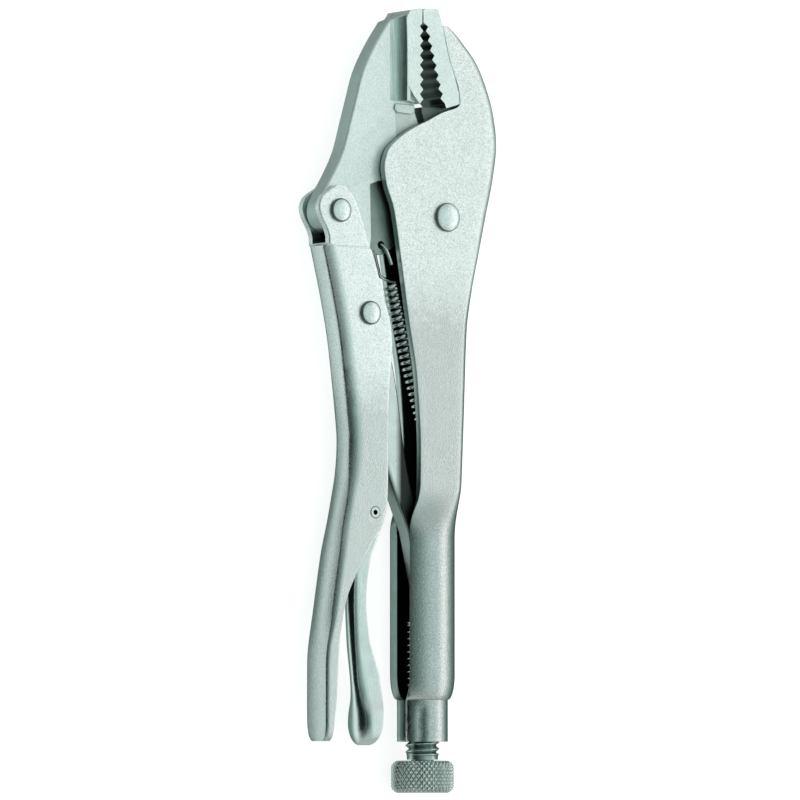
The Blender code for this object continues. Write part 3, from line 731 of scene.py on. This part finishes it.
def build_fixed_jaw():
    root_low = (4.3, 219.2)
    root_high = (-2.2, 243.4)
    seat = [(y, smooth_value(FIXED_EDGE, y) - 0.3) for y in (219.4, 223, 228, 233.5, 239, 243.7)]
    outline = saw_teeth(root_low, root_high, -1.0)
    outline += [(-4.0, 244.6), (-4.0, 248.4), (-3.4, 249.1), (1.0, 249.3), (2.0, 248.7)]
    outline += [(x, y) for y, x in reversed(seat)] + [(9.0, 218.9), (4.9, 217.7)]
    block = prism("fixed_jaw_block", outline, TEETH_HALF, BLASTED, bevel=0.12, segments=2)
    paint_teeth(block, -1.0)
    inside = [(fixed_back_inside(y) - 0.35, y) for y in (207, 213, 219, 225, 231, 236, 239)]
    tongue = [(0.8, 207.4)] + inside + [(3.2, 243.0), (0.4, 240.0), (5.4, 220.8), (5.0, 218.4),
                                        (-2.6, 217.9), (-2.6, 216.2)]
    # The tongue between the handle's walls is painted dark grey as shade in the throat.
    core = prism("tongue", tongue, PLATE_HALF, ROOT_SHADE, bevel=0.2)
    jaw = combine(block, [core], "UNION")
    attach(finish_shading(jaw), "fixed_handle")
    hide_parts("fixed_jaw")


# ---------------------------------------------------------------- movable jaw

def movable_plate_outline():
    outer = [(-5.4, 248.9), (-15.3, 244.8), (-20.7, 236.9), (-25.3, 228.2), (-28.1, 219.1),
             (-30.4, 211.2), (-33.1, 202.3), (-36.8, 195.1), (-40.2, 189.6)]
    outline = [outer[0]] + flowing(outer[1:], 4)
    outline += arc(HANDLE_PIVOT, 7.0, 150.0, 265.0, 20)
    outline += [(-30.0, 174.8), (-24.5, 172.4)]
    outline += arc((-17.4, 173.4), 3.1, 215.0, 300.0, 8)
    outline += [(-11.5, 173.8), (-4.0, 174.8)]
    outline += arc(JAW_PIVOT, 9.5, 240.0, 400.0, 24)
    outline += [(7.0, 198.0), (-1.4, 207.0), (-5.0, 216.0), (-5.4, 232.0)]
    return outline


def fillet_bar(name, low, material):
    """Hollow-ground flank that runs from the thin plate up to the toothed block."""
    curve = flowing([(0.0, 0.0), (1.2, 0.14), (2.2, 0.45), (3.1, 0.98), (3.9, 1.75),
                     (4.45, 2.5), (4.75, 3.0)], 3)
    flank = [(FILLET_FOOT - 0.6, PLATE_HALF - 0.3)]
    flank += [(FILLET_FOOT + x, PLATE_HALF - 0.02 + z) for x, z in curve]
    flank += [(FILLET_FOOT + 6.0, TEETH_HALF - 0.1)]
    section = flank + [(x, -z) for x, z in reversed(flank)]
    bm = bmesh.new()
    rings = [[bm.verts.new((x, low, z)) for x, z in section],
             [bm.verts.new((x, FILLET_TOP[1] + FILLET_SLANT * (x - FILLET_TOP[0]), z))
              for x, z in section]]
    for i in range(len(section)):
        j = (i + 1) % len(section)
        bm.faces.new((rings[0][i], rings[0][j], rings[1][j], rings[1][i]))
    bm.faces.new(rings[0])
    bm.faces.new(rings[1])
    return object_from_bmesh(bm, name, [material])


def side_pockets(outline, floor_half, material):
    """Two cutters that thin the plate to the given half thickness on both sides."""
    cutters = []
    for side in (-1.0, 1.0):
        cutter = prism("pocket", outline, 4.0, material)
        cutter.location.z = side * (floor_half + 4.0) * MM
        cutters.append(cutter)
    return cutters


def build_movable_jaw():
    plate = prism("movable_jaw_forging", movable_plate_outline(), PLATE_HALF, BLASTED, bevel=0.7)
    tongue = [(-13.0, 215.4), (-12.4, 206.0), (-14.0, 199.0), (2.0, 197.0), (2.0, 208.0),
              (-3.0, 219.0), (-12.0, 217.0)]
    pocket = [(-22.6, 192.4), (-19.5, 193.6), (-12.0, 194.4), (-7.5, 191.0), (-7.5, 169.0),
              (-23.5, 165.0), (-22.2, 176.0)]
    # The plate's side faces are painted darker as shade.
    paint(plate, JAW_SIDE_SHADE, lambda c, n: abs(n.z) < 0.35)
    # The tongue recesses and the side pockets are lined with darker metals, painted shade in the
    # recesses.
    combine(plate, side_pockets(tongue, TONGUE_HALF, TONGUE_SHADE)
            + side_pockets(pocket, POCKET_HALF, POCKET_SHADE), "DIFFERENCE")
    outline = saw_teeth((-5.35, 218.6), (-5.35, 243.4), 1.0)
    outline += [(-4.4, 244.4), (-4.4, 248.4), (-5.0, 249.1), (-9.0, 248.3), (-10.4, 246.0),
                (-10.0, 224.4), (-7.7, 221.2), (-5.35, 218.6)]
    block = prism("block", outline[:-1], TEETH_HALF, BLASTED, bevel=0.12, segments=2)
    paint_teeth(block, 1.0)
    paint(block, FLANK, lambda c, n: n.z * n.z < 0.2 and n.x < -0.5)
    toe = [(-9.6, 224.2), (-10.9, 219.7), (-6.8, 218.9), (-5.6, 219.4), (-6.0, 224.0)]
    shoulder = [(-5.8, 218.4), (-13.0, 218.6), (-13.5, 216.8), (-12.4, 215.7), (-7.0, 215.3),
                (-5.8, 216.0)]
    parts = [block, prism("toe", toe, TOE_HALF, SHOULDER, bevel=0.35),
             prism("shoulder", shoulder, SHOULDER_HALF, SHOULDER, bevel=0.3),
             fillet_bar("flank", 219.4, FLANK)]
    jaw = combine(plate, parts, "UNION")
    drill(jaw, JAW_PIVOT, JAW_RIVET[0] + HOLE_GAP, CUT_EDGE)
    drill(jaw, HANDLE_PIVOT, HANDLE_RIVET[0] + HOLE_GAP, CUT_EDGE)
    # The spring's eye is lined with the near-black painted inside shade.
    drill(jaw, SPRING_EYE, 1.3, INSIDE_SHADE)
    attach(finish_shading(jaw), "movable_jaw")
    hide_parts("movable_jaw")


# ---------------------------------------------------------------- movable handle, link, lever

def moving_section(y):
    """The spine's round bends give way to two flat ears, set in a little from the spine."""
    ear = smooth_step(EAR_LOW, EAR_LOW + 0.8, y)
    edge = fair_value(MOVING_EDGE, y, 1.2)
    back = fair_value(MOVING_BACK, y) * (1.0 - ear) + smooth_value(EAR_BACK, y) * ear
    half = smooth_value(MOVING_WIDTH, y)
    bend = smooth_value(MOVING_BEND, y) * (1.0 - ear) + EAR_BEND * ear
    outer = u_section(edge, back, half, bend, 0.8, smooth_value(MOVING_CROWN, y) * (1.0 - ear))
    inner = u_section(edge, min(back + SHEET, edge - 0.6), half - min(SHEET, 0.5 * half),
                      INNER_BEND)
    if abs(y - JOGGLE_Y) < 0.2:
        outer = [(x, z - math.copysign(JOGGLE_DEPTH, z)) if abs(z) > half - 0.01 else (x, z)
                 for x, z in outer]
    return outer, inner


def build_movable_handle():
    extra = (16.3, 16.5, 16.8, 17.3, 18.0, JOGGLE_Y - 0.3, JOGGLE_Y - 0.15, JOGGLE_Y,
             JOGGLE_Y + 0.15, JOGGLE_Y + 0.35, JOGGLE_Y + 0.6, JOGGLE_Y + 0.9)
    ys = spaced(16.2, 191.2, 1.0, extra + tuple(186 + 0.4 * i for i in range(13)))
    near_line = LEG_STEPS + ARC_STEPS - 2
    far_line = 2 * (LEG_STEPS + ARC_STEPS + 1 + BACK_STEPS) - 1 - near_line
    # The strips along the spine's bends are painted as a dark reflection line.
    handle = loft_channel("movable_handle_shell", [(y, *moving_section(y)) for y in ys],
                          SHEET_METALS + [BEND_REFLECTION_LINE], (near_line, far_line))
    slot = [(-60.0, 172.3), (-60.0, 205.0), (-20.0, 205.0), (-20.0, 173.6), (-38.0, 173.6),
            (-40.6, 172.9), (-41.3, 172.3)]
    combine(handle, [prism("slot", slot, HALF_WIDTH - SHEET, CUT_EDGE)], "DIFFERENCE")
    drill(handle, HANDLE_PIVOT, HANDLE_RIVET[0] + HOLE_GAP, CUT_EDGE)
    drill(handle, TOGGLE_PIVOT, TOGGLE_RIVET[0] + HOLE_GAP, CUT_EDGE)
    drill(handle, LEVER_PIVOT, PIN_R + HOLE_GAP, CUT_EDGE)
    round_edges(handle, 0.25)
    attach(finish_shading(handle), "movable_handle")
    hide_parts("movable_handle")


def build_toggle_link():
    outline = arc(TOGGLE_PIVOT, 6.4, 15.0, 190.0, 24)
    outline += flowing([(-29.0, 141.0), (-24.5, 127.0), (-18.4, 110.0), (-13.0, 95.6),
                        (-7.4, 82.6)], 4)
    outline += arc(TOGGLE_TIP, 3.2, 170.0, 350.0, 16)
    outline += flowing([(2.4, 72.0), (-1.0, 82.0), (-4.6, 92.0), (-7.2, 101.0), (-9.4, 112.0),
                        (-11.6, 127.0), (-14.6, 141.0)], 4)
    link = prism("toggle_link_bar", outline, LINK_HALF, LINK, bevel=1.1, segments=4)
    # The link's side faces are painted darker as shade.
    paint(link, LINK_SIDE_SHADE, lambda c, n: abs(n.z) < 0.6)
    drill(link, TOGGLE_PIVOT, TOGGLE_RIVET[0] + HOLE_GAP, CUT_EDGE)
    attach(finish_shading(link), "toggle_link")
    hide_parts("toggle_link")


def lever_section(y):
    """Narrow channel that opens into a dished pad with broad round bends."""
    back = fair_value(LEVER_BACK, y)
    edge = fair_value(LEVER_FRONT, y)
    half = smooth_value(LEVER_WIDTH, y)
    pad = 1.0 - smooth_step(30.0, 48.0, y)
    outer = u_section(edge, back, half, 1.0 + 0.4 * pad, 0.48, 1.3 + 0.7 * pad)
    inner = u_section(edge, min(back + LEVER_SHEET, edge - 0.4), half - LEVER_SHEET,
                      0.5 + 1.6 * pad, 0.48 + 0.2 * pad)
    return outer, inner


def build_release_lever():
    ys = spaced(15.0, 101.5, 0.8, (15.1, 15.25, 15.5, 15.9, 16.4, 17.0))
    # The lever's plate is painted darker as shade between the handles.
    lever = loft_channel("release_lever_stamping", [(y, *lever_section(y)) for y in ys],
                         [LEVER_WITH_SHADE, CUT_EDGE, INSIDE_SHADE])
    drill(lever, LEVER_PIVOT, PIN_R + HOLE_GAP, CUT_EDGE)
    round_edges(lever, 0.2)
    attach(finish_shading(lever), "release_lever")
    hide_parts("release_lever")


# ---------------------------------------------------------------- round parts

def build_rivet(name, centre, size, body):
    """Rivet with a low domed head and a rounded rim, whose outer ring on each side is painted dark
    as shade.
    """
    shank, head, dome = size
    under = HALF_WIDTH + HEAD_GAP
    rim = RIVET_RIM_SHARE * dome
    half = [(shank, under), (head - 0.1, under), (head, under + 0.08), (head, under + rim)]
    for i in range(1, 13):
        angle = math.radians(90.0 * i / 12)
        half.append((head * math.cos(angle) ** 0.8 if i < 12 else 0.0,
                     under + rim + (dome - rim) * math.sin(angle)))
    profile = [(r, -d) for r, d in reversed(half)] + half
    rivet = lathe(name + "_dome", profile, centre, False, RIVET)
    # Painted shade round the rim of the head.
    paint(rivet, ROOT_SHADE, lambda c, n: math.hypot(c[0] - centre[0], c[1] - centre[1])
          > head - RIVET_SHADE_RIM)
    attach(finish_shading(rivet), body)
    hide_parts(name)


def build_lever_pin():
    """Hollow pin through both walls of the movable handle, with rounded rims."""
    reach = HALF_WIDTH + 0.25
    profile = [(PIN_BORE, -reach + 0.12), (PIN_BORE + 0.12, -reach), (PIN_R - 0.2, -reach),
               (PIN_R, -reach + 0.2), (PIN_R, reach - 0.2), (PIN_R - 0.2, reach),
               (PIN_BORE + 0.12, reach), (PIN_BORE, reach - 0.12), (PIN_BORE, -reach + 0.12)]
    pin = lathe("release_lever_pin_tube", profile, LEVER_PIVOT, False, LINK, steps=48)
    # The pin's bore is painted near-black as shade.
    paint(pin, INSIDE_SHADE, lambda c, n: math.hypot(c[0] - LEVER_PIVOT[0], c[1] - LEVER_PIVOT[1])
          < PIN_BORE + 0.02)
    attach(finish_shading(pin), "movable_handle")
    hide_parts("release_lever_pin")


def thread_radius(y, turn):
    """Radius of the screw at a height and a turn: a V thread that runs out at both ends."""
    phase = (y / THREAD_PITCH - turn) % 1.0
    ridge = min(max((0.5 - abs(phase - 0.5)) * 2.5 - 0.12, 0.0), 1.0)
    fade = smooth_step(11.8, 12.8, y) * (1.0 - smooth_step(SCREW_TIP_Y - 3.2, SCREW_TIP_Y - 2.0, y))
    crest = SCREW_R - max(0.0, y - (SCREW_TIP_Y - 2.0)) * 0.8
    collar = SCREW_R - 0.45 * (1.0 - smooth_step(11.6, 12.4, y))
    return min(crest, collar) - THREAD_DEPTH * (1.0 - ridge) * fade


def grid_of_revolution(name, rows, radius_at, columns, caps, material):
    """Surface round the screw axis from rows of heights; caps close the first and last row."""
    bm = bmesh.new()
    rings = []
    for row in rows:
        ring = []
        for k in range(columns):
            angle = 2.0 * math.pi * k / columns
            radius, y = radius_at(row, k / columns)
            ring.append(bm.verts.new((radius * math.sin(angle), y, radius * math.cos(angle))))
        rings.append(ring)
    for low, high in zip(rings, rings[1:]):
        for i in range(columns):
            j = (i + 1) % columns
            bm.faces.new((low[i], low[j], high[j], high[i]))
    for ring in caps:
        bm.faces.new(rings[ring])
    return object_from_bmesh(bm, name, [material])


def build_screw():
    rows = [SCREW_LOW] + [SCREW_LOW + 0.15 + 0.15 * i
                          for i in range(int((SCREW_TIP_Y - SCREW_LOW - 0.15) / 0.15))]
    screw = grid_of_revolution("adjusting_screw_thread", rows,
                               lambda y, turn: (thread_radius(y, turn), y), 96, (0, -1), SCREW)
    stub = lathe("stub", [(0.0, 3.4), (STUB_R, 3.4), (STUB_R, SCREW_LOW + 0.4),
                          (0.0, SCREW_LOW + 0.4)], (0.0, 0.0), True, SCREW)
    combine(screw, [stub], "UNION")
    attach(finish_shading(screw), "adjusting_screw")
    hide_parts("adjusting_screw")


def knob_profile(share):
    """Point and outward normal on the knob's rounded side, share 0 to 1 from face to face."""
    corner = 0.5 * math.pi * KNOB_EDGE
    flat = KNOB_HEIGHT - 2.0 * KNOB_EDGE
    run = share * (2.0 * corner + flat)
    inner = KNOB_R - KNOB_EDGE
    if run < corner:
        angle = run / KNOB_EDGE
        return (inner + KNOB_EDGE * math.sin(angle), KNOB_EDGE - KNOB_EDGE * math.cos(angle),
                math.sin(angle), -math.cos(angle))
    if run > corner + flat:
        angle = (run - corner - flat) / KNOB_EDGE
        return (inner + KNOB_EDGE * math.cos(angle),
                KNOB_HEIGHT - KNOB_EDGE + KNOB_EDGE * math.sin(angle),
                math.cos(angle), math.sin(angle))
    return KNOB_R, KNOB_EDGE + run - corner, 1.0, 0.0


def build_knob():
    def groove(turns):
        """1 on the line of a groove, falling to 0 on the diamonds between two of them."""
        share = turns % 1.0
        return max(1.0 - KNURL_SLOPE * min(share, 1.0 - share), 0.0)

    def radius_at(share, turn):
        radius, y, out, up = knob_profile(share)
        round_share, high_share = turn * KNURL_ROUND, share * KNURL_HIGH
        deepest = max(groove(round_share + high_share), groove(round_share - high_share))
        fade = smooth_step(0.02, 0.10, share) * (1.0 - smooth_step(0.90, 0.98, share))
        depth = KNURL_DEPTH * deepest * fade
        return radius - out * depth, y - up * depth

    rows = [i / KNOB_ROWS for i in range(KNOB_ROWS + 1)]
    knob = grid_of_revolution("adjusting_knob_knurled", rows, radius_at, 400, (0, -1), KNURL)
    bore = STUB_R + HOLE_GAP
    # The knob's bore takes the near-black painted inside shade.
    cutter = lathe("bore", [(0.0, 3.0), (bore, 3.0), (bore, 14.0), (0.0, 14.0)], (0.0, 0.0),
                   True, INSIDE_SHADE)
    combine(knob, [cutter], "DIFFERENCE")
    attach(finish_shading(knob), "adjusting_knob")
    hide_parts("adjusting_knob")


# ---------------------------------------------------------------- return spring

def spring_points():
    """Hook at the jaw, close coils along a slanting axis, then a straight tail."""
    axis = SPRING_FOOT - SPRING_TOP
    along = axis.normalized()
    across = along.cross(Vector((0.0, 0.0, 1.0)))
    hook = [(-14.0, 167.3, 3.0), (-15.0, 169.6, 3.1), (-16.3, 172.2, 2.9), (-17.2, 173.6, 1.4),
            (-17.5, 173.9, -0.6), (-17.1, 173.0, -2.5), (-16.2, 169.8, -2.9),
            (-15.6, 166.2, -2.2), (-15.3, 163.4, -1.0)]
    count = SPRING_TURNS * SPRING_STEPS
    coil = []
    for i in range(count + 1):
        angle = 2.0 * math.pi * i / SPRING_STEPS - SPRING_START
        radial = across * math.sin(angle) + Vector((0.0, 0.0, math.cos(angle)))
        coil.append(SPRING_TOP + axis * (i / count) + SPRING_COIL_R * radial)
    tail = [tuple(coil[-1]), (4.4, 106.5, 1.6), (7.6, 100.5, 0.6), (8.8, 98.6, 0.4)]
    start = [Vector(p) for p in flowing(hook + [tuple(coil[0])], 6)[:-1]]
    end = [Vector(p) for p in flowing(tail, 6)[1:]]
    return start + coil + end


def build_spring():
    spring = tube_along("return_spring_wire", spring_points(), SPRING_WIRE_R, 10, WIRE)
    finish_shading(spring)
    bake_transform(spring)
    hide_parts("return_spring")


# ---------------------------------------------------------------- studio

def build_floor():
    """Pale floor that lights itself a little, so that only soft shadows show on it."""
    material = bpy.data.materials.new("studio_floor")
    material.use_nodes = True
    nodes = material.node_tree.nodes
    shader = nodes["Principled BSDF"]
    shader.inputs["Roughness"].default_value = 0.9
    shader.inputs["Specular IOR Level"].default_value = 0.1
    shader.inputs["Emission Color"].default_value = (1.0, 1.0, 1.0, 1.0)
    shader.inputs["Emission Strength"].default_value = 0.80
    clouds = nodes.new("ShaderNodeTexNoise")
    clouds.inputs["Scale"].default_value = 60.0
    shade = map_range(material.node_tree, clouds.outputs["Fac"], 0.0, 1.0, 0.60, 0.63)
    material.node_tree.links.new(shade, shader.inputs["Base Color"])
    bm = bmesh.new()
    bmesh.ops.create_grid(bm, x_segments=8, y_segments=8, size=6.0)
    mesh = bpy.data.meshes.new("studio_floor")
    bm.to_mesh(mesh)
    bm.free()
    mesh.materials.append(material)
    floor = bpy.data.objects.new("studio_floor", mesh)
    floor.location.z = -0.0002
    floor.visible_glossy = False
    bpy.context.scene.collection.objects.link(floor)


# Light of the surroundings by direction round the tool's length: degrees up from the horizon on
# the movable handle's side, over the top at 90, down to the other side's horizon at 180.
STRIPS = ((-180, 0.30), (-165, 0.16), (-152, 0.12), (-130, 0.22), (-104, 0.24), (-82, 0.26),
          (-66, 0.32), (-55, 0.90), (-42, 1.04), (-31, 0.98), (-25, 0.46), (-18, 0.06), (8, 0.05),
          (20, 0.075), (28, 0.13), (39, 0.24), (60, 0.38), (82, 0.70), (105, 0.84), (121, 0.76),
          (129, 0.80), (133, 1.56), (145, 1.70), (151, 1.1), (158, 0.72), (168, 0.48))

# Plain light beyond the strips' ends, and how far along the tool it takes over.
ENDS_COLOUR = (0.50, 0.56, 0.54, 1.0)
ENDS_RUN = (0.22, 0.75)


def build_world():
    """Studio surroundings as long strips beside and above the tool, and plain ends."""
    world = bpy.data.worlds.new("studio")
    world.use_nodes = True
    bpy.context.scene.world = world
    tree = world.node_tree
    nodes = tree.nodes
    links = tree.links
    background = nodes["Background"]
    split = nodes.new("ShaderNodeSeparateXYZ")
    links.new(nodes.new("ShaderNodeTexCoord").outputs["Generated"], split.inputs["Vector"])
    flipped = calculate(tree, "MULTIPLY", split.outputs["X"], -1.0)
    turn = calculate(tree, "ARCTAN2", split.outputs["Z"], flipped)
    share = calculate(tree, "MULTIPLY_ADD", turn, 0.5 / math.pi, 0.5)
    ramp = nodes.new("ShaderNodeValToRGB")
    links.new(share, ramp.inputs["Fac"])
    elements = ramp.color_ramp.elements
    while len(elements) < len(STRIPS):
        elements.new(0.5)
    for element, (degrees, value) in zip(elements, STRIPS):
        element.position = (degrees + 180.0) / 360.0
        element.color = (value * (0.60 + 0.27 * min(value, 1.5)), value,
                         value * (0.87 + 0.14 * min(value, 0.8)), 1.0)
    ends = map_range(tree, calculate(tree, "ABSOLUTE", split.outputs["Y"]), *ENDS_RUN, 0.0, 1.0)
    mix = nodes.new("ShaderNodeMix")
    mix.data_type = "RGBA"
    links.new(ends, mix.inputs["Factor"])
    first, second = [socket for socket in mix.inputs if socket.type == "RGBA"]
    links.new(ramp.outputs["Color"], first)
    second.default_value = ENDS_COLOUR
    blended = next(socket for socket in mix.outputs if socket.type == "RGBA")
    links.new(blended, background.inputs["Color"])


def build_light():
    """Long soft box overhead, along the tool."""
    data = bpy.data.lights.new("soft_box", "AREA")
    data.shape = "RECTANGLE"
    data.size = 0.5
    data.size_y = 1.2
    data.energy = 0.9
    light = bpy.data.objects.new("soft_box", data)
    light.location = (0.2, 0.0, 1.1)
    light.visible_glossy = False
    bpy.context.scene.collection.objects.link(light)


# Camera: the point it looks at, its distance from that point towards -X and +Z, and the lens,
# which takes in HALF_FRAME to each side at LENS_REACH.
AIM = (-5.8, 124.8, -4.1)
CAMERA_OUT = 1377.0
CAMERA_UP = 1966.0
HALF_FRAME = 127.07
LENS_REACH = 2400.0


def build_camera():
    """Long lens on the -X side, level with the knob, with the jaws upwards in the picture."""
    place = to_metres(AIM[0] - CAMERA_OUT, 0.0, AIM[2] + CAMERA_UP)
    target = to_metres(*AIM)
    forward = (target - place).normalized()
    right = forward.cross(Vector((0.0, 1.0, 0.0))).normalized()
    up = right.cross(forward)
    data = bpy.data.cameras.new("camera")
    data.angle = 2.0 * math.atan(HALF_FRAME / LENS_REACH)
    data.clip_end = 20.0
    camera = bpy.data.objects.new("camera", data)
    columns = (right, up, -forward, place)
    camera.matrix_world = Matrix([[c[i] for c in columns] for i in range(3)] + [[0, 0, 0, 1]])
    bpy.context.scene.collection.objects.link(camera)
    bpy.context.scene.camera = camera


def build():
    build_fixed_handle()
    build_fixed_jaw()
    build_rivet("jaw_pivot_rivet", JAW_PIVOT, JAW_RIVET, "fixed_handle")
    build_spring()
    build_movable_jaw()
    build_rivet("handle_pivot_rivet", HANDLE_PIVOT, HANDLE_RIVET, "movable_jaw")
    build_movable_handle()
    build_rivet("toggle_pivot_rivet", TOGGLE_PIVOT, TOGGLE_RIVET, "movable_handle")
    build_lever_pin()
    build_toggle_link()
    build_release_lever()
    build_screw()
    build_knob()
    build_floor()
    build_world()
    build_light()
    build_camera()
    bpy.context.scene.view_settings.view_transform = "Standard"


build()
